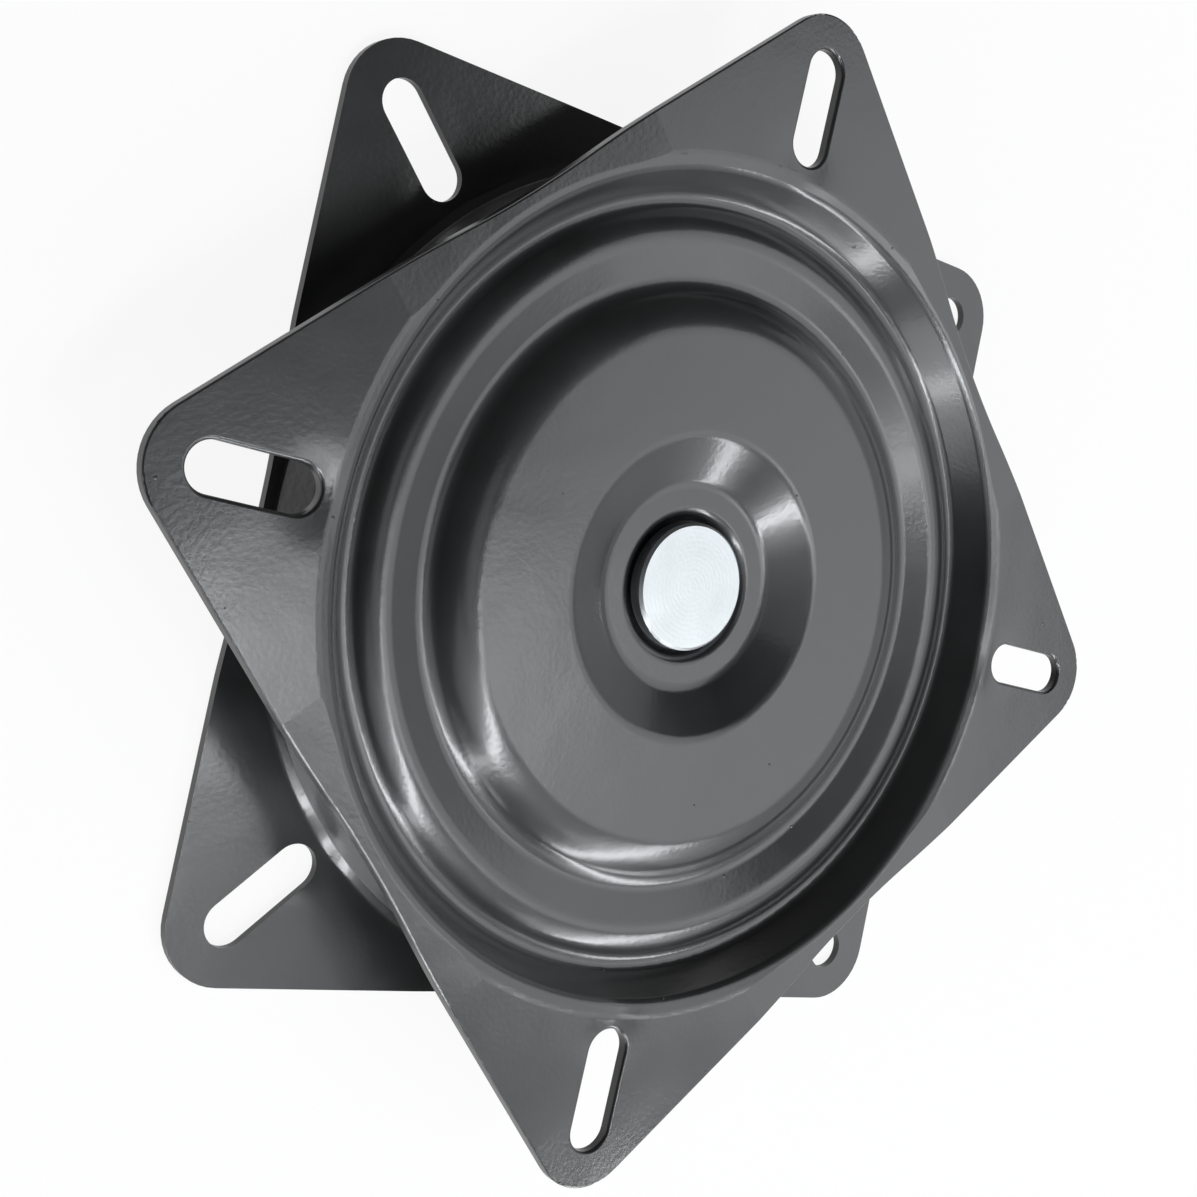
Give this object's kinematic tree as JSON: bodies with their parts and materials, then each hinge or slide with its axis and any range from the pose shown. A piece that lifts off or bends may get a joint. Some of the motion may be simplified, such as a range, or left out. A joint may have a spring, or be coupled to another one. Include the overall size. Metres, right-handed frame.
{
  "type": "seat swivel plate",
  "caption": "Stamped steel seat swivel: two square plates with dished round centres, turning on a hidden ball race about a centre rivet, with a slot in each corner.",
  "frame": {"origin": "on the swivel axis, in the plane of the lower plate's corner flats, which is the lowest plane of the part", "axes": "+Z along the swivel axis from the lower plate up to the upper plate; +X and +Y along the lower plate's two slot diagonals, so its sides lie at 45 degrees to them"},
  "size_m": [0.2412, 0.2412, 0.0258],
  "materials": {
    "black_coat": "satin black powder coat with orange peel over pressed steel",
    "zinc_rivet": "bright zinc plate, satin",
    "ball_steel": "polished bearing steel, greased",
    "cage_plastic": "moulded, matte, greased",
    "washer_steel": "plain zinc plated washer"
  },
  "bodies": {
    "base": {"lower_plate": "black_coat", "centre_rivet": "zinc_rivet", "lower_washer": "washer_steel", "upper_washer": "washer_steel"},
    "top": {"upper_plate": "black_coat"},
    "ball_ring": {"ball_cage": "cage_plastic", "ball_01": "ball_steel", "ball_02": "ball_steel", "ball_03": "ball_steel", "ball_04": "ball_steel", "ball_05": "ball_steel", "ball_06": "ball_steel", "ball_07": "ball_steel", "ball_08": "ball_steel", "ball_09": "ball_steel", "ball_10": "ball_steel", "ball_11": "ball_steel", "ball_12": "ball_steel", "ball_13": "ball_steel", "ball_14": "ball_steel", "ball_15": "ball_steel", "ball_16": "ball_steel"}
  },
  "joints": [
    {"name": "swivel", "type": "hinge", "parent": "base", "child": "top", "pos_m": [0, 0, 0], "axis": [0, 0, 1], "continuous": true},
    {"name": "ball_ring_turn", "type": "hinge", "parent": "base", "child": "ball_ring", "pos_m": [0, 0, 0], "axis": [0, 0, 1], "continuous": true}
  ],
  "couplings": [
    {"joint": "ball_ring_turn", "follows": "swivel", "ratio": 0.5}
  ]
}
